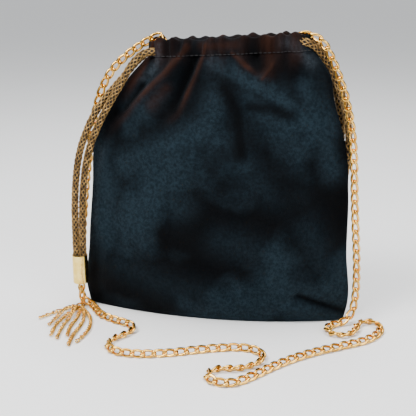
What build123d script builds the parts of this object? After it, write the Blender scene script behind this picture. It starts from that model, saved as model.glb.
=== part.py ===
"""Velvet drawstring pouch with two mesh drawcords, chain tassels and a chain strap.

Frame: +Z up, front towards -Y, origin on the table under the middle of the pouch.
All sizes are in millimetres.
"""

import math
import os

from build123d import *

os.makedirs("parts", exist_ok=True)

# ---- driving dimensions -------------------------------------------------------------

VELVET = 1.5            # thickness of the outer cloth
LINING = 1.0            # thickness of the inner cloth
MIN_END = 0.4           # least half-thickness left at the end of an inset section
SEAM_Z = 200.5          # stitch line under the drawcord casing, at the mouth's middle
MOUTH_X = 11.0          # the gathered mouth sits a little to the right of the base
MOUTH_TILT = 3.0        # degrees: the mouth's right end is the higher one
MOUTH_HALF = 59.0       # half-width of the gathered mouth
MOUTH_BULGE = 15.0      # half-thickness of the mouth at its middle
MOUTH_END = 9.0         # half-thickness of the mouth at its ends

CASING_HEIGHT = 10.5
CASING_WALL = 1.2
CASING_CHANNEL = 4.2    # width of the tunnel between the casing's two walls
CASING_HALF = 47.0      # the casing is open beyond this, where the cords come out
LOW_CORD = 3.2          # height of the lower cord above the stitch line
HIGH_CORD = 7.6         # height of the upper cord above the stitch line

LOOP_STATIONS = (-CASING_HALF, -24.0, 0.0, 24.0, 48.6)
LOOP_END = 54.0         # the cord turns round the far side seam here

CORD_D = 5.4            # mesh drawcord, hanging free
CORE_D = 3.0            # the same cord squeezed in the casing

FERRULE_BASE = 21.4     # height of the ferrules' lower ends above the table
FERRULE_D = 12.0
FERRULE_WALL = 0.5
FERRULE_LENGTH = 22.9
FERRULE_FLOOR = 1.2     # thickness of the ferrule's closed end

FERRULE_ROUND = 0.9     # rounding of the closed end's edge

EYE_RADIUS = 1.9
EYE_WIRE = 1.1
EYE_GAP = 0.1           # clearance between the eye and the ferrule
EYE_STEM_D = 2.0        # stem of the eye, through the ferrule's closed end
EYE_HEAD_D = 3.8
EYE_HEAD_THICK = 0.7
LINK_LENGTH = 7.8
LINK_WIDTH = 4.6
LINK_WIRE = 1.3
LINK_PLAY = 0.1         # clearance between linked wires
LINKS = 3
HUB_RADIUS = 3.2        # ring that gathers the tassel's strands
HUB_WIRE = 1.4
STRAND_D = 3.0
STRAND_LIFT = 0.1       # the strands' clearance over the table
STRAND_GAP = 1.4        # gap between the hub ring and a strand's first link

CHAIN_D = 6.5           # width over the strap chain's links
RING_WIRE = 1.6
RING_WIDTH = 6.8        # D-ring, over the wire's centreline
RING_HEIGHT = 7.0
RING_SHOULDER = 4.2     # height of the D-ring's straight sides
RING_CORNER = 1.15
TAB_WIDTH = 4.0
TAB_THICK = 1.2
TAB_ROUND = 2.0         # bends of the tab
TAB_PLAY = 0.3          # clearance of the D-ring's bar in its tab

# Pouch sections from the base up: height, middle, half-width, bulge, end, tilt.
SECTIONS = [
    (0.0, 0.0, 99.0, 17.0, 2.0, 0.0),
    (12.0, 0.0, 103.5, 23.0, 2.0, 0.0),
    (55.0, 1.5, 99.8, 29.0, 2.0, 0.0),
    (100.0, 3.5, 97.0, 29.0, 2.0, 0.0),
    (135.0, 3.5, 93.5, 26.5, 2.0, 0.4),
    (160.0, 5.0, 84.0, 22.0, 2.5, 1.2),
    (183.0, 9.0, 70.0, 18.0, 4.5, 2.2),
    (SEAM_Z, MOUTH_X, MOUTH_HALF, MOUTH_BULGE, MOUTH_END, MOUTH_TILT),
]

# ---- cord routes: points chosen by hand, joined by straight runs and tangent arcs ----

LEFT_FRONT_CORD = [
    (-36.5, -8.6, 201.3), (-47.5, -8.7, 203.0), (-58.8, -9.2, 193.4), (-67.8, -9.4, 178.0),
    (-83.0, -9.8, 154.0), (-95.6, -10.8, 126.0), (-100.4, -11.8, 93.0), (-101.55, -13.0, 60.0),
    (-101.55, -13.0, 24.3),
]
LEFT_BACK_CORD = [
    (-36.5, 8.6, 201.3), (-47.5, 8.4, 203.0), (-60.0, 6.6, 193.2), (-69.5, 0.8, 180.8),
    (-80.5, -5.0, 168.0), (-90.2, -9.9, 154.0), (-102.0, -11.2, 127.0), (-106.6, -12.2, 93.0),
    (-107.05, -13.0, 60.0), (-107.05, -13.0, 24.3),
]
RIGHT_FRONT_CORD = [
    (57.9, -8.2, 210.6), (66.0, -7.3, 210.5), (73.8, 0.8, 204.9), (81.2, 5.8, 194.6),
    (89.0, 6.6, 180.5), (95.5, 7.2, 163.0), (99.3, 9.6, 142.0), (98.2, 13.6, 118.0),
    (95.2, 16.0, 90.0), (94.75, 16.0, 62.0), (94.75, 16.0, 24.3),
]
RIGHT_BACK_CORD = [
    (57.9, 8.2, 210.6), (66.5, 8.8, 210.6), (75.5, 10.8, 204.0), (83.0, 12.4, 190.0),
    (89.5, 13.4, 170.0), (93.6, 15.4, 145.0), (92.0, 18.6, 118.0), (89.3, 17.0, 90.0),
    (89.25, 16.0, 62.0), (89.25, 16.0, 24.3),
]
STRAP_CHAIN = [
    (-42.2, 0.5, 211.9), (-50.8, 1.2, 208.0), (-62.0, 1.5, 200.8), (-75.5, 2.0, 189.8),
    (-85.5, 2.4, 175.5), (-93.5, 2.8, 152.0), (-98.8, 2.8, 120.0), (-104.0, 2.6, 84.0),
    (-107.4, 2.3, 48.0), (-108.7, 1.4, 19.0), (-108.4, -3.2, 4.6), (-98.6, -9.4, 3.4),
    (-92.5, -17.0, 3.4), (-84.0, -29.5, 3.4), (-69.0, -38.0, 3.4), (-56.0, -42.5, 3.4),
    (-50.8, -50.5, 3.4), (-55.5, -61.5, 3.4), (-62.5, -70.5, 3.4), (-62.3, -81.0, 3.4),
    (-54.5, -88.6, 3.4), (-40.0, -90.5, 3.4), (-17.0, -85.0, 3.4), (9.0, -72.5, 3.4),
    (29.0, -66.2, 3.4), (42.5, -68.0, 3.4), (49.0, -77.0, 3.4), (45.5, -89.0, 3.4),
    (35.0, -98.0, 3.4), (23.5, -99.6, 3.4), (16.0, -104.6, 3.4), (15.6, -113.6, 3.4),
    (23.5, -119.6, 3.4), (35.0, -118.0, 3.4), (46.0, -105.5, 3.4), (60.0, -86.0, 3.4),
    (80.0, -66.0, 3.4), (103.0, -50.0, 3.4), (121.0, -37.0, 3.4), (129.5, -20.5, 3.4),
    (127.8, -9.2, 3.4), (120.8, -4.4, 3.4), (113.6, -7.6, 3.4), (111.6, -15.5, 3.4),
    (110.4, -22.5, 3.4), (106.8, -29.4, 3.4), (100.4, -32.8, 3.4), (93.2, -31.3, 3.4), (89.6, -24.8, 3.4),
    (92.1, -16.8, 3.4), (106.4, -6.8, 4.4), (109.9, -4.2, 20.0), (109.4, -4.0, 48.0),
    (105.6, -4.0, 90.0), (103.0, -4.0, 134.0), (98.2, -3.6, 162.0), (91.0, -3.4, 184.0),
    (82.4, -3.4, 202.8), (74.2, -1.8, 213.8), (63.9, -0.5, 214.4),
]

# Tassel strands: points after the start at the hub ring, on the table unless a height
# is given. Every second strand leaves the ring on top of its neighbours.
LEFT_STRANDS = [
    [(-113.3, -20.6), (-121.0, -28.5), (-128.5, -42.0)],
    [(-112.0, -24.0, 4.9), (-116.0, -34.5), (-116.8, -53.0)],
    [(-108.8, -26.0), (-110.8, -38.5), (-112.0, -54.0), (-108.5, -70.0)],
    [(-105.4, -27.5, 4.9), (-105.6, -39.0), (-106.2, -54.0), (-102.5, -74.0)],
    [(-101.8, -27.0), (-99.6, -40.5), (-100.2, -55.0), (-96.5, -68.5)],
    [(-99.0, -25.8, 4.9), (-94.0, -38.0), (-92.6, -53.0), (-93.0, -68.0), (-90.5, -83.0)],
    [(-97.0, -23.8), (-90.0, -35.0), (-85.5, -48.0), (-84.0, -63.0), (-86.5, -77.0)],
]
RIGHT_STRANDS = [
    [(82.6, 22.0), (71.0, 27.0), (56.0, 33.0)],
    [(83.0, 26.0, 4.9), (75.0, 35.0), (61.0, 44.0)],
    [(86.4, 29.0), (80.0, 41.0), (71.0, 53.0), (64.5, 64.0)],
    [(90.0, 30.0, 4.9), (86.0, 42.0), (79.0, 57.0), (75.0, 70.0)],
    [(93.6, 30.0), (92.5, 44.0), (87.5, 58.0), (85.0, 73.0)],
    [(97.0, 29.0, 4.9), (99.0, 41.0), (96.5, 56.0), (93.5, 70.0)],
]


# ---- shared helpers -----------------------------------------------------------------

def finish(piece, name):
    """Label a piece and write it."""
    piece.part.label = name
    export_step(piece.part, f"parts/{name}.step")


def inset_section(half, bulge, end, inset):
    """Half-width, bulge and end of a pouch section moved inwards by inset."""
    crown = bulge - end
    inner_half = half - inset
    inner_end = end + crown * (1 - (inner_half / half) ** 2) - inset
    if inset > 0 and inner_end < MIN_END:
        inner_half = half * math.sqrt(1 - (MIN_END + inset - end) / crown)
        inner_end = MIN_END
    return inner_half, bulge - inset, inner_end


def lens_outline(half, bulge, end):
    """Closed outline of two shallow arcs joined by short straight ends."""
    with BuildLine() as outline:
        ThreePointArc((-half, -end), (0, -bulge), (half, -end))
        Line((half, -end), (half, end))
        ThreePointArc((half, end), (0, bulge), (-half, end))
        Line((-half, end), (-half, -end))
    make_face(outline.edges())


def section_plane(height, middle, tilt):
    """Plane of one pouch section, tipped about the front-to-back axis."""
    angle = math.radians(tilt)
    return Plane(
        origin=(middle, 0, height),
        x_dir=(math.cos(angle), 0, math.sin(angle)),
        z_dir=(-math.sin(angle), 0, math.cos(angle)),
    )


def pouch_loft(inset, mode=Mode.ADD):
    """Loft the pouch's sections, all moved inwards and up off the base by inset."""
    sections = []
    for height, middle, half, bulge, end, tilt in SECTIONS:
        with BuildSketch(section_plane(max(height, inset), middle, tilt)) as section:
            lens_outline(*inset_section(half, bulge, end, inset))
        sections.append(section.sketch)
    loft(sections, mode=mode)


def mouth_plane(height=0.0):
    """Plane parallel to the stitch line, height above it."""
    return section_plane(SEAM_Z, MOUTH_X, MOUTH_TILT).offset(height)


def mouth_section(inset):
    """Outline of the gathered mouth, moved inwards by inset."""
    lens_outline(*inset_section(MOUTH_HALF, MOUTH_BULGE, MOUTH_END, inset))


def route_radii(points):
    """Arc at each corner: 0.45 of the shorter run over the tangent of half the turn."""
    radii = []
    for before, corner, after in zip(points, points[1:], points[2:]):
        run_in = Vector(corner) - Vector(before)
        run_out = Vector(after) - Vector(corner)
        turn = math.radians(run_in.get_angle(run_out))
        radii.append(0.45 * min(run_in.length, run_out.length) / math.tan(turn / 2))
    return radii


def cord_tube(points, diameter, name):
    """Plain tube along a route; prints its length and tightest arcs."""
    radii = route_radii(points)
    with BuildPart() as cord:
        with BuildLine() as path:
            FilletPolyline(*points, radius=radii)
        line = path.wire()
        with BuildSketch(Plane(origin=line @ 0, z_dir=line % 0)):
            Circle(diameter / 2)
        sweep(path=line)
    ratio = cord.part.volume / (math.pi * diameter ** 2 / 4 * line.length)
    tight = ", ".join(f"{radius:.1f}" for radius in sorted(radii)[:5])
    print(f"{name}: length {line.length:.1f}, volume ratio {ratio:.3f}, arcs from {tight}")
    finish(cord, name)


def wire_ring(plane, radius, wire):
    """Round ring of wire lying in a plane."""
    with BuildPart() as ring:
        with BuildSketch(Plane(origin=plane.origin + plane.x_dir * radius, z_dir=plane.y_dir)):
            Circle(wire / 2)
        revolve(axis=Axis(plane.origin, plane.z_dir))
    return ring


# ---- pouch: two outer panels and two lining panels ------------------------------------

SIDES = {"front": Keep.TOP, "back": Keep.BOTTOM}

for side, keep in SIDES.items():
    with BuildPart() as panel:
        pouch_loft(0)
        pouch_loft(VELVET, Mode.SUBTRACT)
        split(bisect_by=Plane.XZ, keep=keep)
    finish(panel, f"{side}_panel")

    with BuildPart() as lining:
        pouch_loft(VELVET)
        pouch_loft(VELVET + LINING, Mode.SUBTRACT)
        split(bisect_by=Plane.XZ, keep=keep)
    finish(lining, f"{side}_lining")

# ---- casing: a hollow hem round the mouth, open at both ends for the cords ------------

for side, keep in SIDES.items():
    with BuildPart() as casing:
        with BuildSketch(mouth_plane()):
            mouth_section(0)
        extrude(amount=CASING_HEIGHT)
        with BuildSketch(mouth_plane()):
            mouth_section(2 * CASING_WALL + CASING_CHANNEL)
        extrude(amount=CASING_HEIGHT, mode=Mode.SUBTRACT)
        with BuildSketch(mouth_plane(CASING_WALL)):
            mouth_section(CASING_WALL)
            with BuildSketch(mode=Mode.PRIVATE) as tunnel_core:
                mouth_section(CASING_WALL + CASING_CHANNEL)
            add(tunnel_core.sketch, mode=Mode.SUBTRACT)
        extrude(amount=CASING_HEIGHT - 2 * CASING_WALL, mode=Mode.SUBTRACT)
        with BuildSketch(mouth_plane()):
            Rectangle(2 * CASING_HALF, 4 * MOUTH_BULGE)
        extrude(amount=CASING_HEIGHT, mode=Mode.INTERSECT)
        split(bisect_by=Plane.XZ, keep=keep)
    finish(casing, f"{side}_casing")


# ---- drawcords inside the casing: each runs round the mouth and out at its own end ----

def casing_loop(outward, height, name):
    """Cord in the tunnel: outward is -1 for the cord that leaves at the left."""
    mid = CASING_WALL + CASING_CHANNEL / 2
    half, bulge, end = inset_section(MOUTH_HALF, MOUTH_BULGE, MOUTH_END, mid)
    front = []
    for along in LOOP_STATIONS:
        depth = end + (bulge - end) * (1 - (along / half) ** 2)
        front.append((-outward * along, -depth))
    turn = [(-outward * LOOP_END, 0.0)]
    back = [(x, -y) for x, y in reversed(front)]
    plane = mouth_plane(height)
    points = [tuple(plane.from_local_coords(Vector(x, y, 0))) for x, y in front + turn + back]
    cord_tube(points, CORE_D, name)


casing_loop(-1, LOW_CORD, "left_drawcord_loop")
casing_loop(1, HIGH_CORD, "right_drawcord_loop")

# ---- drawcords outside the casing -----------------------------------------------------

cord_tube(LEFT_FRONT_CORD, CORD_D, "left_drawcord_front_run")
cord_tube(LEFT_BACK_CORD, CORD_D, "left_drawcord_back_run")
cord_tube(RIGHT_FRONT_CORD, CORD_D, "right_drawcord_front_run")
cord_tube(RIGHT_BACK_CORD, CORD_D, "right_drawcord_back_run")


# ---- ferrule, eye, links, hub ring and strands of one tassel --------------------------

def oval_link(centre, side_dir):
    """Upright oval link; side_dir is the horizontal direction across it."""
    rise = (LINK_LENGTH - LINK_WIDTH) / 2
    bend = (LINK_WIDTH - LINK_WIRE) / 2
    plane = Plane(origin=centre, x_dir=side_dir, z_dir=Vector(side_dir).cross(Vector(0, 0, 1)))
    with BuildPart() as link:
        with BuildLine(plane) as path:
            Line((bend, -rise), (bend, rise))
            ThreePointArc((bend, rise), (0, rise + bend), (-bend, rise))
            Line((-bend, rise), (-bend, -rise))
            ThreePointArc((-bend, -rise), (0, -rise - bend), (bend, -rise))
        line = path.wire()
        with BuildSketch(Plane(origin=line @ 0, z_dir=line % 0)):
            Circle(LINK_WIRE / 2)
        sweep(path=line)
    return link


def tassel(hand, x, y, outward, strands):
    """Everything on the drawcords' end; outward is -1 where the tassel lies in front."""
    base = FERRULE_BASE

    with BuildPart() as ferrule:
        with BuildSketch(Plane.XY.offset(base)):
            with Locations((x, y)):
                Circle(FERRULE_D / 2)
        extrude(amount=FERRULE_LENGTH)
        fillet(ferrule.edges().sort_by(Axis.Z)[0], FERRULE_ROUND)
        with BuildSketch(Plane.XY.offset(base + FERRULE_FLOOR)):
            with Locations((x, y)):
                Circle(FERRULE_D / 2 - FERRULE_WALL)
        extrude(amount=FERRULE_LENGTH, mode=Mode.SUBTRACT)
        with BuildSketch(Plane.XY.offset(base)):
            with Locations((x, y)):
                Circle(EYE_STEM_D / 2)
        extrude(amount=FERRULE_FLOOR, mode=Mode.SUBTRACT)
    finish(ferrule, f"{hand}_ferrule")

    eye_z = base - EYE_RADIUS - EYE_WIRE / 2 - EYE_GAP
    eye_plane = Plane(origin=(x, y, eye_z), x_dir=(1, 0, 0), z_dir=(0, 1, 0))
    with BuildPart() as eye:
        add(wire_ring(eye_plane, EYE_RADIUS, EYE_WIRE).part)
        with BuildSketch(Plane.XY.offset(eye_z + EYE_RADIUS)):
            with Locations((x, y)):
                Circle(EYE_STEM_D / 2)
        extrude(amount=base + FERRULE_FLOOR - eye_z - EYE_RADIUS)
        with BuildSketch(Plane.XY.offset(base + FERRULE_FLOOR)):
            with Locations((x, y)):
                Circle(EYE_HEAD_D / 2)
        extrude(amount=EYE_HEAD_THICK)
    finish(eye, f"{hand}_ferrule_eye")

    drop = LINK_LENGTH - LINK_WIRE
    top = eye_z - EYE_RADIUS + EYE_WIRE / 2 + LINK_PLAY + LINK_WIRE / 2
    with BuildPart() as links:
        for index in range(LINKS):
            across = (0, 1, 0) if index % 2 == 0 else (1, 0, 0)
            add(oval_link((x, y, top - drop / 2), across).part)
            top = top - drop + LINK_WIRE + LINK_PLAY
    finish(links, f"{hand}_tassel_links")

    hub_z = top + (HUB_WIRE - LINK_WIRE) / 2
    hub = Vector(x, y + outward * HUB_RADIUS, hub_z)
    hub_plane = Plane(origin=hub, x_dir=(1, 0, 0), z_dir=(0, 0, 1))
    finish(wire_ring(hub_plane, HUB_RADIUS, HUB_WIRE), f"{hand}_tassel_ring")

    table = STRAND_D / 2 + STRAND_LIFT
    reach = HUB_RADIUS + HUB_WIRE / 2 + STRAND_GAP
    for number, route in enumerate(strands, start=1):
        heights = [point[2] if len(point) > 2 else table for point in route]
        away = Vector(route[0][0] - hub.X, route[0][1] - hub.Y, 0).normalized() * reach
        points = [(hub.X + away.X, hub.Y + away.Y, heights[0])]
        points += [(point[0], point[1], height) for point, height in zip(route, heights)]
        cord_tube(points, STRAND_D, f"{hand}_tassel_strand_{number}")


tassel("left", -104.3, -13.0, -1, LEFT_STRANDS)
tassel("right", 92.0, 16.0, 1, RIGHT_STRANDS)


# ---- strap: fabric tabs in the side seams, D-rings, and the chain ---------------------

def strap_end(hand, anchor, hinge, lean):
    """Tab through the anchor points to the hinge, and the D-ring leaning lean degrees left."""
    sleeve = RING_WIRE / 2 + TAB_PLAY
    with BuildPart() as tab:
        with BuildSketch(Plane.XZ) as strip:
            with BuildLine():
                FilletPolyline(*anchor, hinge, radius=TAB_ROUND)
            trace(line_width=TAB_THICK)
            with Locations(hinge):
                Circle(sleeve + TAB_THICK)
            with Locations(hinge):
                Circle(sleeve, mode=Mode.SUBTRACT)
        extrude(amount=TAB_WIDTH / 2, both=True)
    finish(tab, f"{hand}_strap_tab")

    angle = math.radians(lean)
    half = RING_WIDTH / 2
    plane = Plane(
        origin=(hinge[0], 0, hinge[1]),
        x_dir=(0, 1, 0),
        z_dir=(math.cos(angle), 0, math.sin(angle)),
    )
    with BuildPart() as ring:
        with BuildLine(plane) as path:
            FilletPolyline(
                (half, 0), (half, RING_SHOULDER), (0, RING_HEIGHT),
                (-half, RING_SHOULDER), (-half, 0),
                radius=RING_CORNER, close=True,
            )
        line = path.wire()
        with BuildSketch(Plane(origin=line @ 0, z_dir=line % 0)):
            Circle(RING_WIRE / 2)
        sweep(path=line)
    finish(ring, f"{hand}_strap_ring")


LEFT_TAB = [(-48.2, 190.4), (-44.4, 197.0), (-40.4, 200.4), (-36.4, 203.4)]
RIGHT_TAB = [(71.6, 193.0), (68.2, 198.8), (63.0, 202.4), (58.2, 205.4)]
strap_end("left", LEFT_TAB, (-35.0, 207.0), 30)
strap_end("right", RIGHT_TAB, (56.8, 208.8), -30)

cord_tube(STRAP_CHAIN, CHAIN_D, "strap_chain")
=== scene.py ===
"""Looks of a velvet drawstring pouch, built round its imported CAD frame, as a Blender add-on."""

import math
import random

import bpy
import numpy as np
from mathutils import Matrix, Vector


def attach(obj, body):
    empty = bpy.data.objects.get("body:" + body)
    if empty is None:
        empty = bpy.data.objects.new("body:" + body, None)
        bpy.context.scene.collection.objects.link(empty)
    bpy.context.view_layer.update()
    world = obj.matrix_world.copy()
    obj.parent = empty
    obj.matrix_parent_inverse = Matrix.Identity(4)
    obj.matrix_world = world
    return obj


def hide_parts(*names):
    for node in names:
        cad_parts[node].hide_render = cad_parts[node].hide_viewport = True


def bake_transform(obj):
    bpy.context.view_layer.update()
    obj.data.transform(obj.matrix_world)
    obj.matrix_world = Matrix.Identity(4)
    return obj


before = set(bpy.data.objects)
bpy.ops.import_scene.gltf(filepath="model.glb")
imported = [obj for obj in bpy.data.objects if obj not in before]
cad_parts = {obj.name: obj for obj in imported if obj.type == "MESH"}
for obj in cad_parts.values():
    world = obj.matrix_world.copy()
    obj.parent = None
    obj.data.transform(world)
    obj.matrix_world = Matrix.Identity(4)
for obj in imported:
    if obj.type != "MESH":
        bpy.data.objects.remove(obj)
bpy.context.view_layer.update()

bl_info = {
    "name": "Drawstring pouch",
    "version": (1, 0, 0),
    "blender": (4, 5, 0),
    "location": "View3D > Sidebar > Pouch",
    "description": "Builds the visible pieces of a velvet drawstring pouch",
    "category": "Object",
}

MM = 0.001
SEED = 7
LOOK = "look_"  # keeps these materials apart from the ones that come with the frame

# Pouch sections from the base up: height, middle, half-width, bulge, end, tilt (mm, degrees).
SECTIONS = np.array([
    (0.0, 0.0, 101.0, 18.0, 2.0, 0.0),
    (12.0, 0.0, 103.5, 23.0, 2.0, 0.0),
    (55.0, 1.5, 99.8, 29.0, 2.0, 0.0),
    (100.0, 3.5, 97.0, 29.0, 2.0, 0.0),
    (135.0, 3.5, 93.5, 26.5, 2.0, 0.4),
    (160.0, 5.0, 84.0, 22.0, 2.5, 1.2),
    (183.0, 9.0, 70.0, 18.0, 4.5, 2.2),
    (200.5, 11.0, 59.0, 15.0, 9.0, 3.0),
    (211.0, 10.6, 58.6, 14.2, 9.0, 3.0),
])
SEAM_Z = 200.5
CASING_TOP = 10.5
LINING_INSET = 2.4
CASING_INSET = 6.4

# Folds on the front: (x, z) points on the cloth, width and height out of the cloth, mm.
FRONT_FOLDS = [
    ([(-43, 214), (-44, 203), (-50, 190), (-60, 176), (-68, 164)], 3.0, 2.6),
    ([(-34, 212), (-36, 200), (-40, 191)], 2.2, 1.6),
    ([(-50, 182), (-62, 164), (-78, 143)], 4.6, -3.0),
    ([(-16.6, 205), (-32.8, 186), (-51.7, 169), (-67.2, 152.4), (-85.6, 134.5)], 3.4, 4.2),
    ([(-10.5, 202), (-17.6, 182), (-29, 160), (-38, 148)], 6.0, -5.4),
    ([(-3.4, 206), (-10.7, 186.4), (-23.3, 159), (-33, 150)], 3.0, 3.8),
    ([(6, 203), (3, 186), (-4, 168)], 4.5, -2.0),
    ([(15.6, 202), (26.2, 193.3), (36.9, 185)], 2.2, 3.2),
    ([(36.9, 185), (42.4, 192.3), (45.8, 203)], 2.2, 3.0),
    ([(29, 206), (35, 194)], 4.6, -4.0),
    ([(37, 182), (41, 165), (43, 150)], 5.0, 1.2),
    ([(50, 210), (57, 200), (64, 186), (70, 170)], 3.4, -2.4),
    ([(52, 214), (60, 204), (67, 194), (76, 172)], 2.6, 2.4),
    ([(22, 150), (52, 118), (70, 84)], 15.0, -1.8),
    ([(-62, 118), (-28, 96), (6, 52)], 16.0, -1.6),
    ([(-20, 130), (14, 104), (30, 66)], 14.0, 1.4),
    ([(66, 22), (84, 14), (103, 7)], 3.0, -2.6),
    ([(60, 12), (82, 7), (98, 2)], 3.2, 1.2),
    ([(-88, 60), (-76, 34), (-80, 8)], 9.0, 1.3),
    ([(-98, 96), (-84, 70), (-84, 40)], 8.0, -1.5),
]
# Painted light and shade on the front, where the nap lies light or dark: path, width, strength. The teal
# patches are painted sheen.
TEAL_SHEEN_PATCHES = [
    ([(2, 195), (16, 190), (28, 182.5), (39, 178.5), (53, 167.5), (66, 156), (75, 150)], 7.0, 1.25),
    ([(34, 112), (60, 98)], 12.0, 0.6),
    ([(-94, 128), (-84, 96), (-86, 66)], 17.0, 1.0),
    ([(-66, 118), (-30, 134), (0, 150), (8, 172)], 13.0, 0.95),
    ([(66, 180), (80, 150), (88, 118)], 9.0, 0.9),
    ([(-50, 110), (-20, 90)], 15.0, 0.7),
    ([(70, 80), (84, 48), (94, 30)], 12.0, 0.5),
    ([(10, 70), (50, 52), (70, 34)], 14.0, 0.5),
    ([(-70, 40), (-30, 26), (20, 18)], 14.0, 0.4),
    ([(-54, 180), (-66, 160)], 4.5, 0.8),
]
# Painted pale highlights along fold edges: path, width, strength.
PALE_HIGHLIGHT_EDGES = [
    ([(-38, 206), (-38.5, 196), (-44, 188), (-52, 181)], 2.6, 0.8),
    ([(52, 210), (62, 206), (70, 196)], 4.5, 0.6),
    ([(-86, 128), (-92, 100), (-94, 70)], 3.0, 0.35),
]
# Painted shade, laid on as black, in fold valleys and along the right edge: path, width, strength.
PAINTED_SHADE_PATCHES = [
    ([(11, 178), (20, 162), (24, 132)], 7.5, 0.95),
    ([(28, 165), (43, 164.5), (58, 159)], 4.6, 0.8),
    ([(84, 182), (92, 158), (97, 130)], 4.5, 0.75),
    ([(-12, 200), (-18, 182), (-27, 163)], 6.5, 1.0),
    ([(-52, 176), (-64, 160), (-80, 140)], 3.6, 0.9),
    ([(-30, 212), (-30, 203)], 5.0, 0.9),
    ([(-18, 210), (-20, 204)], 4.5, 0.8),
    ([(8, 200), (14, 190)], 3.5, 0.5),
    ([(29, 205), (35, 194)], 5.0, 0.9),
    ([(22, 150), (52, 118), (62, 92)], 13.0, 0.75),
    ([(-30, 66), (10, 88)], 13.0, 0.6),
    ([(48, 200), (58, 186)], 5.0, 0.5),
    ([(68, 22), (84, 14), (103, 7)], 3.0, 0.9),
]

# Painted warm russet highlight on the upper folds: path, width, strength.
WARM_HIGHLIGHT_PATCHES = [
    ([(41, 213), (43, 200), (40, 189)], 5.5, 0.75),
    ([(-6, 206), (20, 208)], 3.6, 0.7),
    ([(-34, 176), (-44, 164)], 5.0, 0.5),
]
# Gathered lumps along the mouth: position along the outline, width, height.
FRONT_LUMPS = [(-37.5, 4.4, 3.8), (-28, 3.6, 3.0), (-17, 4.0, 2.0), (0.6, 4.2, 2.4), (8.6, 3.6, 2.8),
               (23.5, 5.0, 2.6), (37.5, 4.4, 2.4), (48.5, 3.8, 3.0), (58.5, 4.6, 3.8)]

# Cord routes, mm: the same points as the CAD tubes.
LEFT_FRONT_CORD = [
    (-36.5, -8.6, 201.3), (-47.5, -8.7, 203.0), (-58.8, -9.2, 193.4), (-67.8, -9.4, 178.0),
    (-83.0, -9.8, 154.0), (-95.6, -10.8, 126.0), (-100.4, -11.8, 93.0), (-101.55, -13.0, 60.0),
    (-101.55, -13.0, 24.3),
]
LEFT_BACK_CORD = [
    (-36.5, 8.6, 201.3), (-47.5, 8.4, 203.0), (-60.0, 6.6, 193.2), (-69.5, 0.8, 180.8),
    (-80.5, -5.0, 168.0), (-90.2, -9.9, 154.0), (-102.0, -11.2, 127.0), (-106.6, -12.2, 93.0),
    (-107.05, -13.0, 60.0), (-107.05, -13.0, 24.3),
]
RIGHT_FRONT_CORD = [
    (57.9, -8.2, 210.6), (66.0, -7.3, 210.5), (73.8, 0.8, 204.9), (81.2, 5.8, 194.6),
    (89.0, 6.6, 180.5), (95.5, 7.2, 163.0), (99.3, 9.6, 142.0), (98.2, 13.6, 118.0),
    (95.2, 16.0, 90.0), (94.75, 16.0, 62.0), (94.75, 16.0, 24.3),
]
RIGHT_BACK_CORD = [
    (57.9, 8.2, 210.6), (66.5, 8.8, 210.6), (75.5, 10.8, 204.0), (83.0, 12.4, 190.0),
    (89.5, 13.4, 170.0), (93.6, 15.4, 145.0), (92.0, 18.6, 118.0), (89.3, 17.0, 90.0),
    (89.25, 16.0, 62.0), (89.25, 16.0, 24.3),
]
STRAP_CHAIN = [
    (-42.2, 0.5, 211.9), (-50.8, 1.2, 208.0), (-62.0, 1.5, 200.8), (-75.5, 2.0, 189.8),
    (-85.5, 2.4, 175.5), (-93.5, 2.8, 152.0), (-98.8, 2.8, 120.0), (-104.0, 2.6, 84.0),
    (-107.4, 2.3, 48.0), (-108.7, 1.4, 19.0), (-108.4, -3.2, 4.6), (-98.6, -9.4, 3.4),
    (-92.5, -17.0, 3.4), (-84.0, -29.5, 3.4), (-69.0, -38.0, 3.4), (-56.0, -42.5, 3.4),
    (-50.8, -50.5, 3.4), (-55.5, -61.5, 3.4), (-62.5, -70.5, 3.4), (-62.3, -81.0, 3.4),
    (-54.5, -88.6, 3.4), (-40.0, -90.5, 3.4), (-17.0, -85.0, 3.4), (9.0, -72.5, 3.4),
    (29.0, -66.2, 3.4), (42.5, -68.0, 3.4), (49.0, -77.0, 3.4), (45.5, -89.0, 3.4),
    (35.0, -98.0, 3.4), (23.5, -99.6, 3.4), (16.0, -104.6, 3.4), (15.6, -113.6, 3.4),
    (23.5, -119.6, 3.4), (35.0, -118.0, 3.4), (46.0, -105.5, 3.4), (60.0, -86.0, 3.4),
    (80.0, -66.0, 3.4), (103.0, -50.0, 3.4), (121.0, -37.0, 3.4), (129.5, -20.5, 3.4),
    (127.8, -9.2, 3.4), (120.8, -4.4, 3.4), (113.6, -7.6, 3.4), (111.6, -15.5, 3.4),
    (110.4, -22.5, 3.4), (106.8, -29.4, 3.4), (100.4, -32.8, 3.4), (93.2, -31.3, 3.4),
    (89.6, -24.8, 3.4), (92.1, -16.8, 3.4), (106.4, -6.8, 4.4), (109.9, -4.2, 20.0),
    (109.4, -4.0, 48.0), (105.6, -4.0, 90.0), (103.0, -4.0, 134.0), (98.2, -3.6, 162.0),
    (91.0, -3.4, 184.0), (82.4, -3.4, 202.8), (74.2, -1.8, 213.8), (63.9, -0.5, 214.4),
]
LEFT_HUB = (-104.3, -16.2)
RIGHT_HUB = (92.0, 19.2)
LEFT_STRANDS = [
    [(-113.3, -20.6), (-121.0, -28.5), (-128.5, -42.0)],
    [(-112.0, -24.0, 4.9), (-116.0, -34.5), (-116.8, -53.0)],
    [(-108.8, -26.0), (-110.8, -38.5), (-112.0, -54.0), (-108.5, -70.0)],
    [(-105.4, -27.5, 4.9), (-105.6, -39.0), (-106.2, -54.0), (-102.5, -74.0)],
    [(-101.8, -27.0), (-99.6, -40.5), (-100.2, -55.0), (-96.5, -68.5)],
    [(-99.0, -25.8, 4.9), (-94.0, -38.0), (-92.6, -53.0), (-93.0, -68.0), (-90.5, -83.0)],
    [(-97.0, -23.8), (-90.0, -35.0), (-85.5, -48.0), (-84.0, -63.0), (-86.5, -77.0)],
]
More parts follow.
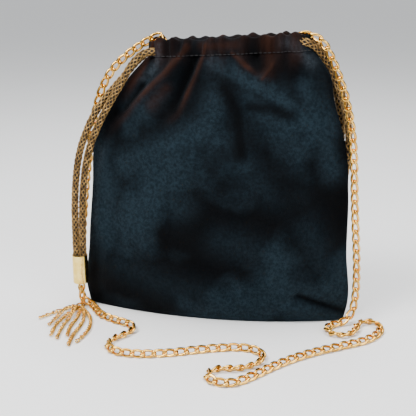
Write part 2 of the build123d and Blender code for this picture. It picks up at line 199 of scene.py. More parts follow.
RIGHT_STRANDS = [
    [(82.6, 22.0), (71.0, 27.0), (56.0, 33.0)],
    [(83.0, 26.0, 4.9), (75.0, 35.0), (61.0, 44.0)],
    [(86.4, 29.0), (80.0, 41.0), (71.0, 53.0), (64.5, 64.0)],
    [(90.0, 30.0, 4.9), (86.0, 42.0), (79.0, 57.0), (75.0, 70.0)],
    [(93.6, 30.0), (92.5, 44.0), (87.5, 58.0), (85.0, 73.0)],
    [(97.0, 29.0, 4.9), (99.0, 41.0), (96.5, 56.0), (93.5, 70.0)],
]
CORD_D = 5.4
CHAIN_D = 6.5
STRAND_D = 3.0
HUB_REACH = 5.3
STRAP_REST = 0.9  # how much lower the links lie on the table than the tube that stands for them
STRAP_LINK_LENGTH = 11.6
STRAP_LINK_TWIST = 46  # degrees from end to end, as in a curb chain
STRAP_WOBBLE = 9
STRAP_LEAD = -5.0  # the links overrun the line by this much in all, into the end rings
STRAND_LINK_LENGTH = 5.2
STRAND_WIRE = 1.1
STRAND_LINK_TWIST = 40
STRAND_PITCH = 3.2
STRAND_WOBBLE = 35
BRAID_STRANDS = 5  # turning each way
BRAID_STEP = 0.7
CORE_GAP = 0.75
TABLE_GAP = 0.02
STITCH_STEP = 3.4
STITCH_LENGTH = 2.2
STITCH_RADIUS = 0.22
STITCH_ARCH = (-0.05, 0.2, 0.28, 0.2, -0.05)
# Casing wall from the seam over the top edge and down inside: height over the seam, inset.
CASING_PROFILE = np.array([
    (0.0, 0.7), (0.5, 0.3), (1.2, 0.0), (2.4, -0.3), (4.0, -0.5), (5.6, -0.5), (7.2, -0.5), (8.6, -0.4),
    (9.7, -0.1), (10.3, 0.6), (10.5, 1.8), (10.4, 3.6), (9.8, 5.0), (8.6, 5.8), (6.6, 6.2), (4.4, 6.4),
    (2.2, 6.4), (0.2, 6.4),
])

# The stage, in metres and watts, but for the floor in mm.
FLOOR_HALF = 60000.0
FLOOR_Z = -0.05
LIGHTS = (
    ("key", (-0.45, -0.55, 1.0), 0.45, 17),
    ("fill", (0.9, -0.8, 0.7), 0.5, 8),
    ("top", (0.1, 0.2, 1.3), 0.8, 16),
)
LIGHT_AIM = (0, 0, 0.1)
SKY_POWER = 1.3
WORLD_COLOUR = (0.92, 0.96, 1.0, 1.0)
WORLD_STRENGTH = 0.42
CAMERA_LENS = 67.97
CAMERA_PLACE = (0.10064, -0.56710, 0.24929)
CAMERA_AIM = (-0.00446, 0.0, 0.0839)


# ---- shader helpers --------------------------------------------------------------------

class Value:
    """A shader socket that takes part in Python expressions."""

    def __init__(self, graph, socket):
        self.graph = graph
        self.socket = socket

    def _op(self, operation, first, second):
        return self.graph.maths(operation, first, second)

    def __add__(self, other):
        return self._op("ADD", self, other)

    def __radd__(self, other):
        return self._op("ADD", other, self)

    def __sub__(self, other):
        return self._op("SUBTRACT", self, other)

    def __rsub__(self, other):
        return self._op("SUBTRACT", other, self)

    def __mul__(self, other):
        return self._op("MULTIPLY", self, other)

    def __rmul__(self, other):
        return self._op("MULTIPLY", other, self)


class Graph:
    """One material's node tree, filled through one method."""

    def __init__(self, name):
        self.material = bpy.data.materials.new(LOOK + name)
        self.material.use_nodes = True
        self.tree = self.material.node_tree
        self.shader = self.tree.nodes["Principled BSDF"]

    def node(self, kind, settings=None, inputs=None):
        made = self.tree.nodes.new(kind)
        for key, value in (settings or {}).items():
            setattr(made, key, value)
        for key, value in (inputs or {}).items():
            self.feed(made.inputs[key], value)
        return made

    def feed(self, socket, value):
        if isinstance(value, Value):
            self.tree.links.new(value.socket, socket)
        elif hasattr(value, "__len__") and len(value) == 3 and len(socket.default_value) == 4:
            socket.default_value = (*value, 1.0)
        else:
            socket.default_value = value

    def out(self, made, name=0):
        return Value(self, made.outputs[name])

    def maths(self, operation, first, second):
        return self.out(self.node("ShaderNodeMath", {"operation": operation}, {0: first, 1: second}))

    def place(self):
        return self.out(self.node("ShaderNodeTexCoord"), "Object")

    def noise(self, scale, detail=3.0, roughness=0.5):
        made = self.node("ShaderNodeTexNoise", {},
                         {"Vector": self.place(), "Scale": scale, "Detail": detail, "Roughness": roughness})
        return self.out(made)

    def ramp(self, value, low, high):
        made = self.node("ShaderNodeMapRange", {"interpolation_type": "SMOOTHSTEP"},
                         {"Value": value, "From Min": low, "From Max": high})
        return self.out(made)

    def attribute(self, name):
        return self.out(self.node("ShaderNodeAttribute", {"attribute_name": name}), "Fac")

    def mix(self, factor, first, second):
        made = self.node("ShaderNodeMix", {"data_type": "RGBA"})
        self.feed(made.inputs[0], factor)
        self.feed(made.inputs[6], first)
        self.feed(made.inputs[7], second)
        return Value(self, made.outputs[2])

    def bump(self, height, distance, strength=1.0):
        made = self.node("ShaderNodeBump", {},
                         {"Height": height, "Distance": distance, "Strength": strength})
        self.feed(self.shader.inputs["Normal"], self.out(made))

    def set(self, **values):
        for key, value in values.items():
            self.feed(self.shader.inputs[key.replace("_", " ")], value)


def velvet_material():
    g = Graph("velvet")
    height = g.out(g.node("ShaderNodeSeparateXYZ", {}, {0: g.place()}), "Z")
    clouds = g.ramp(g.noise(17.0, 2.5, 0.55), 0.40, 0.62)
    mottle = g.ramp(g.noise(420.0, 4.0, 0.65), 0.34, 0.66)
    streaks = g.ramp(g.noise(46.0, 4.0, 0.6), 0.35, 0.75)
    crest = g.attribute("crest")
    shade = g.attribute("shade")
    # Heights where the painted warm highlight shows, from about 118 mm up, and where the painted teal sheen
    # clouds fade, just under the mouth.
    upper_highlight_zone = g.ramp(height, 0.118, 0.178)
    under_mouth = g.ramp(height, 0.150, 0.205)
    # Near-black velvet, also used for the painted shade, then the colours of the painted teal sheen, pale
    # highlight and warm russet highlight.
    black = (0.0004, 0.0006, 0.0010)
    teal_sheen = (0.0105, 0.0200, 0.0275)
    pale_highlight = (0.032, 0.042, 0.052)
    russet_highlight = (0.036, 0.0125, 0.0065)
    # Painted teal sheen: noise clouds, fewer just under the mouth, and the teal patches lighten the black
    # velvet.
    painted_light_and_shade = clouds * (0.45 + 0.55 * mottle) * (1 - 0.8 * under_mouth)
    body = g.mix(g.maths("MAXIMUM", painted_light_and_shade, g.attribute("teal_sheen_patch") * (0.45 + 0.55 * mottle)), black, teal_sheen)
    # Painted pale highlights along the fold edges.
    body = g.mix(g.attribute("pale_highlight_edge") * (0.4 + 0.6 * mottle), body, pale_highlight)
    # Painted warm russet highlight on the upper crests and patches, in streaks.
    ridge_highlight = g.maths("MAXIMUM", crest, g.attribute("warm_highlight_patch"))
    warm = g.mix(ridge_highlight * upper_highlight_zone * (0.45 + 0.55 * streaks), body, russet_highlight)
    # Painted shade turns the colour black, half as much on the crests.
    g.set(Base_Color=g.mix(shade * (1 - 0.5 * crest), warm, black), Roughness=0.80 + 0.14 * streaks)
    g.set(Sheen_Weight=0.035, Sheen_Roughness=0.30, Sheen_Tint=(0.42, 0.62, 0.78))
    g.shader.inputs["Specular IOR Level"].default_value = 0.06
    g.bump(g.noise(1100.0, 4.0, 0.75), 0.0008, 0.7)
    return g.material


def lining_material():
    g = Graph("lining")
    g.set(Base_Color=g.mix(g.noise(60.0), (0.006, 0.006, 0.008), (0.016, 0.015, 0.018)),
          Roughness=0.42 + 0.2 * g.noise(90.0))
    g.bump(g.noise(700.0), 0.0002, 0.4)
    return g.material


def thread_material():
    g = Graph("thread")
    g.set(Base_Color=g.mix(g.noise(300.0), (0.008, 0.008, 0.010), (0.022, 0.020, 0.022)), Roughness=0.7)
    g.bump(g.noise(2500.0), 0.0002, 0.6)
    return g.material


def metal_material(name, dark, light, roughness, grain=220.0):
    g = Graph(name)
    patches = g.ramp(g.noise(grain, 3.0), 0.3, 0.7)
    g.set(Base_Color=g.mix(patches, dark, light), Metallic=1.0,
          Roughness=roughness + 0.10 * g.noise(grain * 3.0))
    g.bump(g.noise(grain * 6.0), 0.00005, 0.3)
    return g.material


def braid_material():
    g = Graph("mesh_cord")
    patches = g.ramp(g.noise(260.0, 4.0), 0.3, 0.7)
    g.set(Base_Color=g.mix(patches, (0.13, 0.070, 0.020), (0.44, 0.27, 0.095)),
          Metallic=0.75, Roughness=0.30 + 0.2 * g.noise(500.0))
    g.bump(g.noise(3000.0), 0.0001, 0.5)
    return g.material


def core_material():
    g = Graph("cord_core")
    g.set(Base_Color=g.mix(g.noise(200.0), (0.006, 0.003, 0.0015), (0.022, 0.012, 0.006)), Roughness=0.75)
    g.bump(g.noise(1500.0), 0.0002, 0.6)
    return g.material


def floor_material():
    g = Graph("floor")
    g.set(Base_Color=g.mix(g.noise(8.0), (0.86, 0.86, 0.86), (0.88, 0.88, 0.88)), Roughness=0.6)
    return g.material


MAKERS = {
    "velvet": velvet_material,
    "lining": lining_material,
    "thread": thread_material,
    "brass": lambda: metal_material("brass", (0.80, 0.54, 0.12), (0.93, 0.70, 0.22), 0.12),
    "gold": lambda: metal_material("gold", (0.62, 0.31, 0.045), (0.90, 0.54, 0.12), 0.12),
    "tassel_gold": lambda: metal_material("tassel_gold", (0.60, 0.32, 0.055), (0.88, 0.55, 0.14), 0.14),
    "mesh_cord": braid_material,
    "cord_core": core_material,
    "floor": floor_material,
}


def material(name):
    return bpy.data.materials.get(LOOK + name) or MAKERS[name]()


# ---- geometry helpers ------------------------------------------------------------------

def new_mesh(name, vertices, faces, materials, smooth=True):
    mesh = bpy.data.meshes.new(name)
    mesh.from_pydata([tuple(v) for v in np.asarray(vertices) * MM], [], [tuple(f) for f in faces])
    mesh.validate()
    if smooth:
        mesh.shade_smooth()
    for each in materials:
        mesh.materials.append(material(each))
    made = bpy.data.objects.new(name, mesh)
    bpy.context.scene.collection.objects.link(made)
    return made


def paint(made, name, values):
    layer = made.data.attributes.new(name, "FLOAT", "POINT")
    layer.data.foreach_set("value", np.asarray(values, np.float32))


def smooth_line(name, points):
    """Points, mm, along a smooth curve guided by the route points."""
    curve = bpy.data.curves.new(name, "CURVE")
    curve.dimensions = "3D"
    curve.resolution_u = 10
    spline = curve.splines.new("NURBS")
    spline.points.add(len(points) - 1)
    for target, point in zip(spline.points, points):
        target.co = (*(c * MM for c in point), 1.0)
    spline.order_u = 3
    spline.use_endpoint_u = True
    holder = bpy.data.objects.new(name, curve)
    bpy.context.scene.collection.objects.link(holder)
    bpy.context.view_layer.update()
    mesh = bpy.data.meshes.new_from_object(holder)
    line = np.array([v.co for v in mesh.vertices]) / MM
    bpy.data.objects.remove(holder)
    bpy.data.curves.remove(curve)
    bpy.data.meshes.remove(mesh)
    return line


def line_length(line):
    return float(np.linalg.norm(np.diff(line, axis=0), axis=1).sum())


def along(line, distances):
    """Points of a line at the given distances from its start."""
    runs = np.concatenate([[0], np.cumsum(np.linalg.norm(np.diff(line, axis=0), axis=1))])
    return np.stack([np.interp(distances, runs, line[:, k]) for k in range(3)], axis=1)


def travel_frames(points, start):
    """Tangent, normal and side at each point, turned as little as possible from one to the next."""
    tangents = np.gradient(points, axis=0)
    tangents /= np.linalg.norm(tangents, axis=1)[:, None]
    normals = np.zeros_like(points)
    normal = np.array(start, float)
    for k, tangent in enumerate(tangents):
        normal = normal - tangent * (normal @ tangent)
        normal = normal / np.linalg.norm(normal)
        normals[k] = normal
    return tangents, normals, np.cross(tangents, normals)


def tube(points, radius, sides, closed=False, start=(0.13, 0.2, 1.0), flat=1.0):
    """Vertices and faces of a tube along points; flat under 1 squeezes it along its normal."""
    points = np.asarray(points, float)
    if closed:
        ahead = np.roll(points, -1, axis=0) - np.roll(points, 1, axis=0)
        tangents = ahead / np.linalg.norm(ahead, axis=1)[:, None]
        normals = np.array(start, float) - tangents * (tangents @ np.array(start, float))[:, None]
        normals /= np.linalg.norm(normals, axis=1)[:, None]
        sideways = np.cross(tangents, normals)
    else:
        tangents, normals, sideways = travel_frames(points, start)
    angles = np.linspace(0, 2 * math.pi, sides, endpoint=False)
    across, up = np.cos(angles)[None, :, None], np.sin(angles)[None, :, None]
    ring = across * normals[:, None] * flat + up * sideways[:, None]
    vertices = (points[:, None] + radius * ring).reshape(-1, 3)
    faces = []
    count = len(points)
    for i in range(count if closed else count - 1):
        for j in range(sides):
            a, b = i * sides + j, i * sides + (j + 1) % sides
            c, d = ((i + 1) % count) * sides + (j + 1) % sides, ((i + 1) % count) * sides + j
            faces.append((a, b, c, d))
    if not closed:
        faces.append(tuple(range(sides))[::-1])
        faces.append(tuple((count - 1) * sides + j for j in range(sides)))
    return vertices, faces


def joined(parts):
    """One list of vertices and one of faces from several (vertices, faces)."""
    vertices, faces, base = [], [], 0
    for these, those in parts:
        vertices.append(these)
        faces += [tuple(index + base for index in face) for face in those]
        base += len(these)
    return np.concatenate(vertices), faces


# ---- pouch surface ---------------------------------------------------------------------

def section_at(height):
    """Middle, half-width, bulge, end and tilt of the pouch at a height, smoothly."""
    heights = SECTIONS[:, 0]
    slopes = np.gradient(SECTIONS[:, 1:], heights, axis=0)
    k = int(np.clip(np.searchsorted(heights, height) - 1, 0, len(heights) - 2))
    span = heights[k + 1] - heights[k]
    t = (height - heights[k]) / span
    a, b = SECTIONS[k, 1:], SECTIONS[k + 1, 1:]
    if k in (0, len(heights) - 3, len(heights) - 2):
        return a + (b - a) * t
    h1, h2 = 2 * t ** 3 - 3 * t ** 2 + 1, t ** 3 - 2 * t ** 2 + t
    h3, h4 = -2 * t ** 3 + 3 * t ** 2, t ** 3 - t ** 2
    return a * h1 + slopes[k] * span * h2 + b * h3 + slopes[k + 1] * span * h4


def distance_to_path(x, z, path):
    """Distance from points to a polyline on the cloth, and the share of its length reached."""
    best = np.full(x.shape, 1e9)
    share = np.zeros(x.shape)
    pts = np.array(path, float)
    runs = np.concatenate([[0], np.cumsum(np.linalg.norm(np.diff(pts, axis=0), axis=1))])
    for k in range(len(pts) - 1):
        run = pts[k + 1] - pts[k]
        t = np.clip(((x - pts[k, 0]) * run[0] + (z - pts[k, 1]) * run[1]) / (run @ run), 0, 1)
        d = np.hypot(x - pts[k, 0] - t * run[0], z - pts[k, 1] - t * run[1])
        nearer = d < best
        best = np.where(nearer, d, best)
        share = np.where(nearer, (runs[k] + t * (runs[k + 1] - runs[k])) / runs[-1], share)
    return best, share


class Gathers:
    """How far the cloth stands out of its smooth form, and how much of that is a crest."""

    def __init__(self, depth):
        self.depth = depth
        dice = random.Random(SEED)
        self.back_folds = []
        x = -48.0
        while x < 64:
            lean = (x - 8) * dice.uniform(0.25, 0.55)
            low = dice.uniform(120, 168)
            self.back_folds.append(([(x, 212), (x + lean * 0.4, 190), (x + lean, low)],
                                    dice.uniform(2.8, 4.2),
                                    dice.uniform(1.4, 3.0) * dice.choice((1, 1, -1))))
            x += dice.uniform(7.0, 12.0)
        self.back_lumps = []
        x = -44.0
        while x < 66:
            self.back_lumps.append((x, dice.uniform(3.2, 4.8), dice.uniform(1.4, 3.0)))
            x += dice.uniform(9.0, 14.0)

    def out(self, x, z, front):
        folds = FRONT_FOLDS if front else self.back_folds
        lumps = FRONT_LUMPS if front else self.back_lumps
        total = np.zeros(np.shape(x))
        crest = np.zeros(np.shape(x))
        for path, width, height in folds:
            d, share = distance_to_path(x, z, path)
            fade = np.minimum(1, (1 - share) * 2.2 + 0.05)
            swell = width * (1 + 0.8 * share)
            bulge = height * fade * np.exp(-(d / swell) ** 2)
            total += bulge
            # Crests of the folds left of x = 48 mm, where the painted warm highlight goes.
            if height > 2.0:
                crest += fade / (1 + np.exp((x - 48) / 1.5)) * np.exp(-((d - 0.3) / (0.5 * swell)) ** 2)
        near_top = 1 / (1 + np.exp(-(z - 194) / 3.5))
        rise = np.zeros(np.shape(x))
        for centre, width, height in lumps:
            rise += height * np.exp(-((x - centre) / width) ** 2)
        ripple = 0.45 * np.sin(x * 0.93 + 1.1 * np.sin(x * 0.17)) * near_top
        total = total * (1 - 0.55 * near_top) + near_top * (rise * 0.75 + ripple)
        # The lumps at the mouth count as crests for the painted warm highlight too.
        crest += 0.5 * near_top * np.clip(rise / 3, 0, 1)
        return total * self.depth, np.clip(crest, 0, 1)


def shell(heights, around, inset, gathers, ruffle, least=-20.0, thin_ends=False):
    """Rows of points round the pouch at the given heights, moved in by inset; and their crests."""
    rows, crests = [], []
    for height, inward, ruffled in zip(heights, inset, ruffle):
        middle, half, bulge, end, tilt = section_at(height)
        if not thin_ends:
            half, bulge, end = half - inward, bulge - inward, max(end - inward, 0.3)
        q = np.linspace(0, 4, around, endpoint=False)
        front = q < 2
        t = np.sin(np.where(front, q - 1, 3 - q) * math.pi / 2)
        y = (bulge - end) * (1 - t ** 2) + end * np.sqrt(np.clip(1 - t ** 4, 0, 1))
        y = np.where(front, -y, y)
        x = half * t
        tangent = np.stack([np.roll(x, -1) - np.roll(x, 1), np.roll(y, -1) - np.roll(y, 1)], axis=1)
        tangent /= np.maximum(np.linalg.norm(tangent, axis=1), 1e-9)[:, None]
        normal = np.stack([tangent[:, 1], -tangent[:, 0]], axis=1)
        z = height + x * math.tan(math.radians(tilt))
        out_front, crest_front = gathers.out(x + middle, z, True)
        out_back, crest_back = gathers.out(x + middle, z, False)
        side = 1 / (1 + np.exp(y / 1.2))
        out = (out_front * side + out_back * (1 - side)) * ruffled
        edge = np.clip((1 - np.abs(t)) * 6, 0.15, 1)
        out = np.maximum(out * edge, least)
        if thin_ends:
            out = out - inward * np.clip((1 - np.abs(t)) / 0.4, 0.25, 1)
        # the left edge is fuller along its side and under the mouth, the right edge only under the mouth
        left_fullness = 2.2 / (1 + np.exp((z - 158) / 5)) / (1 + np.exp((45 - z) / 8))
        left_fullness = left_fullness + 4.4 * np.exp(-((z - 181) / 15) ** 2)
        right_fullness = 5.2 * np.exp(-((z - 188) / 15) ** 2)
        out = out + left_fullness * np.clip((-t - 0.8) / 0.2, 0, 1)
        out = out + right_fullness * np.clip((t - 0.8) / 0.2, 0, 1)
        x, y = x + normal[:, 0] * out, y + normal[:, 1] * out
        rows.append(np.stack([x + middle, y, z], axis=1))
        crests.append(crest_front * side + crest_back * (1 - side))
    return np.array(rows), np.array(crests)


def painted_light_and_shade(points, patches):
    """Strength of the painted light and shade patches at points on the front; 0 on the back."""
    x, y, z = points[..., 0], points[..., 1], points[..., 2]
    total = np.zeros(x.shape)
    for path, width, strength in patches:
        d, _ = distance_to_path(x, z, path)
        total = np.maximum(total, strength * np.exp(-(d / width) ** 2))
    return np.where(y < 1.0, total, 0.0)


def paint_light_and_shade(made, points, crests):
    """Stores the crests and the painted sheen, highlight and shade patches on the mesh."""
    flat = points.reshape(-1, 3)
    paint(made, "crest", crests.reshape(-1))
    for name, patches in (("teal_sheen_patch", TEAL_SHEEN_PATCHES), ("pale_highlight_edge", PALE_HIGHLIGHT_EDGES), ("shade", PAINTED_SHADE_PATCHES),
                          ("warm_highlight_patch", WARM_HIGHLIGHT_PATCHES)):
        paint(made, name, painted_light_and_shade(flat, patches))


def grid_faces(rows, around, flip=False):
    faces = []
    for i in range(rows - 1):
        for j in range(around):
            a, b = i * around + j, i * around + (j + 1) % around
            c, d = (i + 1) * around + (j + 1) % around, (i + 1) * around + j
            faces.append((d, c, b, a) if flip else (a, b, c, d))
    return faces


def rim_lift(points, gathers):
    """The casing's top edge rises at each lump, and stays low at its ends."""
    front = points[..., 1] < 0
    lift = np.zeros(points.shape[:-1])
    for lumps, here in ((FRONT_LUMPS, front), (gathers.back_lumps, ~front)):
        for centre, width, height in lumps:
            rise = 0.9 * min(height, 3.2) * np.exp(-((points[..., 0] - centre) / (0.85 * width)) ** 2)
            lift += np.where(here, rise, 0)
    return lift + 0.5


# ---- settings --------------------------------------------------------------------------

class PouchSettings(bpy.types.PropertyGroup):
    gather: bpy.props.FloatProperty(
        name="Gather depth", description="Scale of the folds under the mouth",
        default=1.5, min=0.0, max=3.0)
    around: bpy.props.IntProperty(
        name="Points around", description="Points in each ring of the cloth",
        default=560, min=64, max=1200)
    braid_width: bpy.props.FloatProperty(
        name="Braid strand", description="Width of one strand of the mesh cord",
        default=0.00082, unit="LENGTH", subtype="DISTANCE")
    braid_pitch: bpy.props.FloatProperty(
        name="Braid pitch", description="Length in which a strand goes once round the cord",
        default=0.022, unit="LENGTH", subtype="DISTANCE")
    link_pitch: bpy.props.FloatProperty(
        name="Link pitch", description="Distance between the strap's links",
        default=0.0076, unit="LENGTH", subtype="DISTANCE")
    link_wire: bpy.props.FloatProperty(
        name="Link wire", description="Thickness of the strap's wire",
        default=0.0020, unit="LENGTH", subtype="DISTANCE")


def settings():
    return bpy.context.scene.pouch_settings


# ---- pieces ----------------------------------------------------------------------------

class PieceOperator(bpy.types.Operator):
    """Builds one group of the pouch's pieces"""
    bl_options = {"REGISTER", "UNDO"}

    def execute(self, context):
        self.build(context.scene.pouch_settings)
        return {"FINISHED"}


class POUCH_OT_cloth(PieceOperator):
    """Builds the gathered velvet body"""
    bl_idname = "pouch.cloth"
    bl_label = "Velvet body"

    def build(self, values):
        gathers = Gathers(values.gather)
        heights = np.concatenate([[0.0, 0.35, 1.2, 2.4], np.linspace(4, SEAM_Z - 1.2, 176),
                                  [SEAM_Z - 0.5, SEAM_Z]])
        inset = np.zeros(len(heights))
        inset[:2] = 1.6, 0.5
        inset[-2:] = 0.6, 0.9
        rows, crests = shell(heights, values.around, inset, gathers, np.ones(len(heights)))
        rows[:, :, 2] = np.maximum(rows[:, :, 2], TABLE_GAP)
        flat = rows.reshape(-1, 3)
        faces = grid_faces(len(heights), values.around)
        faces.append(tuple(range(values.around))[::-1])
        body = new_mesh("velvet_body", flat, faces, ["velvet"])
        paint_light_and_shade(body, rows, crests)
        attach(body, "pouch")
        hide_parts("front_panel", "back_panel")


class POUCH_OT_casing(PieceOperator):
    """Builds the drawcord casing round the mouth and its line of stitches"""
    bl_idname = "pouch.casing"
    bl_label = "Casing"

    def build(self, values):
        gathers = Gathers(values.gather)
        ups, insets = CASING_PROFILE.T
        ruffle = np.clip((4.0 - insets) / 3.0, 0, 1)
        rows, crests = shell(SEAM_Z + ups, values.around, insets, gathers, ruffle, least=0.0, thin_ends=True)
        share = np.clip(ups / CASING_TOP, 0, 1)[:, None] ** 1.5
        rows[:, :, 2] += rim_lift(rows, gathers) * share
        faces = grid_faces(len(ups), values.around)
        made = new_mesh("velvet_casing", rows.reshape(-1, 3), faces, ["velvet"])
        paint_light_and_shade(made, rows, crests)
        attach(made, "pouch")
        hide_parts("front_casing", "back_casing")
        self.stitches(rows[1])

    def stitches(self, ring):
        closed = np.concatenate([ring, ring[:1]])
        total = line_length(closed)
        parts = []
        middle = ring.mean(axis=0)
        for k in range(int(total / STITCH_STEP)):
            run = along(closed, np.linspace(k * STITCH_STEP, k * STITCH_STEP + STITCH_LENGTH, 5))
            out = run - middle
            out[:, 2] = 0
            out /= np.linalg.norm(out, axis=1)[:, None]
            arch = np.array(STITCH_ARCH)[:, None]
            parts.append(tube(run + out * arch, STITCH_RADIUS, 6))
        made = new_mesh("casing_stitches", *joined(parts), ["thread"])
        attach(made, "pouch")


class POUCH_OT_lining(PieceOperator):
    """Builds the satin lining inside the pouch"""
    bl_idname = "pouch.lining"
    bl_label = "Lining"

    def build(self, values):
        gathers = Gathers(values.gather)
        heights = np.concatenate([np.linspace(SEAM_Z, SEAM_Z - 14, 8), np.linspace(184, 4, 46), [2.6]])
        inset = np.full(len(heights), LINING_INSET)
        inset[:8] = np.linspace(CASING_INSET, LINING_INSET, 8)
        around = values.around // 2
        ruffle = np.full(len(heights), 0.9)
        ruffle[:8] = np.linspace(0, 0.9, 8)
        rows, _ = shell(heights, around, inset, gathers, ruffle, thin_ends=True)
        rows[:, :, 2] = np.maximum(rows[:, :, 2], 2.4)
        faces = grid_faces(len(heights), around)
        faces.append(tuple((len(heights) - 1) * around + j for j in range(around)))
        made = new_mesh("satin_lining", rows.reshape(-1, 3), faces, ["lining"])
        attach(made, "pouch")
        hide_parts("front_lining", "back_lining")


def braid(line, width, pitch, radius):
    """An open tubular braid over a dark core along a line."""
    length = line_length(line)
    spots = np.linspace(0, length, int(length / BRAID_STEP))
    points = along(line, spots)
    _, normals, sideways = travel_frames(points, (0.2, -1.0, 0.1))
    parts = [tube(points[::3], radius - CORE_GAP, 10)]
    core_faces = len(parts[0][1])
    strands = BRAID_STRANDS
    for turn in (1, -1):
        for k in range(strands):
            offset = 2 * math.pi * k / strands
            angle = turn * 2 * math.pi * spots / pitch + offset + (0.2 if turn < 0 else 0)
            weave = 0.16 * turn * np.cos(2 * math.pi * spots * 2 * strands / pitch / 2)
            reach = radius - width * 0.45 + weave
            outwards = np.cos(angle)[:, None] * normals + np.sin(angle)[:, None] * sideways
            path = points + reach[:, None] * outwards
            outward = (path - points)[0]
            parts.append(tube(path, width * 0.62, 5, start=outward, flat=0.72))
    return (*joined(parts), core_faces)


class POUCH_OT_cords(PieceOperator):
    """Builds the four runs of mesh drawcord"""
    bl_idname = "pouch.cords"
    bl_label = "Drawcords"

    def build(self, values):
        for hand, side, route in (
            ("left", "front", LEFT_FRONT_CORD),
            ("left", "back", LEFT_BACK_CORD),
            ("right", "front", RIGHT_FRONT_CORD),
            ("right", "back", RIGHT_BACK_CORD),
        ):
            line = smooth_line(f"{hand}_{side}_line", route)
            vertices, faces, core_faces = braid(line, values.braid_width / MM, values.braid_pitch / MM,
                                                CORD_D / 2)
            made = new_mesh(f"{hand}_{side}_mesh_cord", vertices, faces, ["mesh_cord", "cord_core"])
            slots = np.zeros(len(made.data.polygons), int)
            slots[:core_faces] = 1
            made.data.polygons.foreach_set("material_index", slots)
            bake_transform(made)
            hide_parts(f"{hand}_drawcord_{side}_run")


def link_shape(length, width, wire, twist, count, sides):
    """One twisted oval link: along x, across y, and out of plane z."""
    t = np.linspace(0, 2 * math.pi, count, endpoint=False)
    reach = (length - wire) / 2
    half = (width - wire) / 2
    run = reach * np.sign(np.cos(t)) * np.abs(np.cos(t)) ** 0.85
    across = half * np.sign(np.sin(t)) * np.abs(np.sin(t)) ** 0.75
    turn = math.radians(twist) * run / reach
    path = np.stack([run, across * np.cos(turn), across * np.sin(turn)], axis=1)
    return tube(path, wire / 2, sides, closed=True, start=(0.0, 0.0, 1.0))


def chain(line, pitch, shape, start, wobble, dice, lead=0.0):
    """Links placed along a line."""
    length = line_length(line)
    count = max(2, int(round((length - lead) / pitch)))
    spots = lead / 2 + (np.arange(count) + 0.5) * (length - lead) / count
    dense = along(line, np.linspace(0, length, max(40, count * 4)))
    _, normals, _ = travel_frames(dense, start)
    places = along(line, spots)
    back, ahead = along(line, spots - pitch * 0.45), along(line, spots + pitch * 0.45)
    parts = []
    for k, (place, a, b) in enumerate(zip(places, back, ahead)):
        tangent = (b - a) / np.linalg.norm(b - a)
        normal = normals[min(len(dense) - 1, int(spots[k] / length * (len(dense) - 1)))]
        angle = math.radians(dice.uniform(-wobble, wobble))
        normal = normal - tangent * (normal @ tangent)
        normal /= np.linalg.norm(normal)
        side = np.cross(tangent, normal)
        normal, side = (normal * math.cos(angle) + side * math.sin(angle),
                        side * math.cos(angle) - normal * math.sin(angle))
        vertices, faces = shape
        placed = (place + vertices[:, :1] * tangent + vertices[:, 1:2] * side + vertices[:, 2:3] * normal)
        parts.append((placed, faces))
    return joined(parts)


class POUCH_OT_strap(PieceOperator):
    """Builds the strap's curb chain, link by link"""
    bl_idname = "pouch.strap"
    bl_label = "Strap chain"

    def build(self, values):
        dice = random.Random(SEED)
        line = smooth_line("strap_line", STRAP_CHAIN)
        wire = values.link_wire / MM
        shape = link_shape(STRAP_LINK_LENGTH, CHAIN_D, wire, STRAP_LINK_TWIST, 28, 9)
        line[:, 2] -= STRAP_REST * np.clip((6.0 - line[:, 2]) / 2.0, 0, 1)
        vertices, faces = chain(line, values.link_pitch / MM, shape, (0.2, -1.0, 0.3),
                                STRAP_WOBBLE, dice, STRAP_LEAD)
        vertices[:, 2] = np.maximum(vertices[:, 2], TABLE_GAP)
        made = new_mesh("strap_chain_links", vertices, faces, ["gold"])
        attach(made, "pouch")
        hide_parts("strap_chain")


class POUCH_OT_tassels(PieceOperator):
    """Builds the tassels' chain strands"""
    bl_idname = "pouch.tassels"
    bl_label = "Tassels"

    def build(self, values):
        dice = random.Random(SEED + 1)
        shape = link_shape(STRAND_LINK_LENGTH, STRAND_D + 0.3, STRAND_WIRE, STRAND_LINK_TWIST, 16, 6)
        for hand, hub, strands in (("left", LEFT_HUB, LEFT_STRANDS), ("right", RIGHT_HUB, RIGHT_STRANDS)):
            for number, route in enumerate(strands, start=1):
                heights = [point[2] if len(point) > 2 else 1.6 for point in route]
                away = Vector((route[0][0] - hub[0], route[0][1] - hub[1], 0)).normalized() * HUB_REACH
                points = [(hub[0] + away.x * 0.72, hub[1] + away.y * 0.72, 0.5 * (heights[0] + 2.95))]
                points += [(p[0], p[1], h) for p, h in zip(route, heights)]
                line = smooth_line(f"{hand}_strand_line_{number}", points)
                vertices, faces = chain(line, STRAND_PITCH, shape, (0.1, 0.1, 1.0), STRAND_WOBBLE, dice)
                vertices[:, 2] = np.maximum(vertices[:, 2], TABLE_GAP)
                made = new_mesh(f"{hand}_tassel_chain_{number}", vertices, faces, ["tassel_gold"])
                start, end = points[1], points[0]
                [c * MM for c in start]
                [c * MM for c in end]
                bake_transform(made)
                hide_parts(f"{hand}_tassel_strand_{number}")
                [c * MM for c in points[0]]


class POUCH_OT_fittings(PieceOperator):
    """Gives the ferrules, eyes, links, rings, tabs and hidden cords their finishes"""
    bl_idname = "pouch.fittings"
    bl_label = "Fittings"

    def build(self, values):
        for name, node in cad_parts.items():
            if node.hide_render:
                continue
            kind = "gold"
            if "ferrule" in name:
                kind = "brass"
            elif "tab" in name:
                kind = "velvet"
            elif "loop" in name:
                kind = "mesh_cord"
            elif "tassel" in name:
                kind = "tassel_gold"
            node.data.materials.clear()
            node.data.materials.append(material(kind))


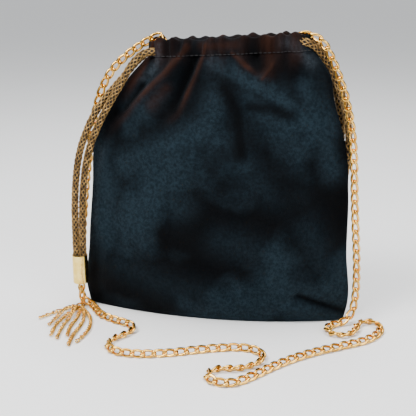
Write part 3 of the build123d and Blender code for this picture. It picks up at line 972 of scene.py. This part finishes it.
class POUCH_OT_stage(PieceOperator):
    """Builds the floor, the lights and the camera"""
    bl_idname = "pouch.stage"
    bl_label = "Stage"

    def build(self, values):
        size = FLOOR_HALF
        corners = [(-size, -size, FLOOR_Z), (size, -size, FLOOR_Z),
                   (size, size, FLOOR_Z), (-size, size, FLOOR_Z)]
        floor = new_mesh("floor", np.array(corners), [(0, 1, 2, 3)], ["floor"], False)
        world = bpy.data.worlds.new("studio")
        world.use_nodes = True
        background = world.node_tree.nodes["Background"]
        background.inputs["Color"].default_value = WORLD_COLOUR
        background.inputs["Strength"].default_value = WORLD_STRENGTH
        bpy.context.scene.world = world
        for name, place, width, power in LIGHTS:
            light = bpy.data.lights.new(name, "AREA")
            light.size = width
            light.energy = power
            holder = bpy.data.objects.new(name, light)
            holder.location = place
            holder.rotation_euler = (Vector(LIGHT_AIM) - Vector(place)).to_track_quat("-Z", "Y").to_euler()
            bpy.context.scene.collection.objects.link(holder)
        sun = bpy.data.lights.new("sky", "SUN")
        sun.energy = SKY_POWER
        sun.angle = math.radians(60)
        holder = bpy.data.objects.new("sky", sun)
        bpy.context.scene.collection.objects.link(holder)
        camera = bpy.data.cameras.new("camera")
        camera.lens = CAMERA_LENS
        holder = bpy.data.objects.new("camera", camera)
        holder.location = CAMERA_PLACE
        aim = Vector(CAMERA_AIM) - holder.location
        holder.rotation_euler = aim.to_track_quat("-Z", "Y").to_euler()
        bpy.context.scene.collection.objects.link(holder)
        bpy.context.scene.camera = holder


class POUCH_PT_panel(bpy.types.Panel):
    """Settings and build buttons of the pouch"""
    bl_idname = "POUCH_PT_panel"
    bl_label = "Drawstring pouch"
    bl_space_type = "VIEW_3D"
    bl_region_type = "UI"
    bl_category = "Pouch"

    def draw(self, context):
        for name in PouchSettings.__annotations__:
            self.layout.prop(context.scene.pouch_settings, name)
        for each in PIECES:
            self.layout.operator(each.bl_idname)


PIECES = (POUCH_OT_cloth, POUCH_OT_casing, POUCH_OT_lining, POUCH_OT_cords, POUCH_OT_strap,
          POUCH_OT_tassels, POUCH_OT_fittings, POUCH_OT_stage)
CLASSES = (PouchSettings,) + PIECES + (POUCH_PT_panel,)


def register():
    for each in CLASSES:
        bpy.utils.register_class(each)
    bpy.types.Scene.pouch_settings = bpy.props.PointerProperty(type=PouchSettings)


def unregister():
    del bpy.types.Scene.pouch_settings
    for each in reversed(CLASSES):
        bpy.utils.unregister_class(each)


def main():
    register()
    for each in PIECES:
        group, name = each.bl_idname.split(".")
        result = getattr(getattr(bpy.ops, group), name)()
        if result != {"FINISHED"}:
            raise RuntimeError(f"{each.bl_idname} did not finish")
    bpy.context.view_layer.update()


if __name__ == "__main__":
    main()
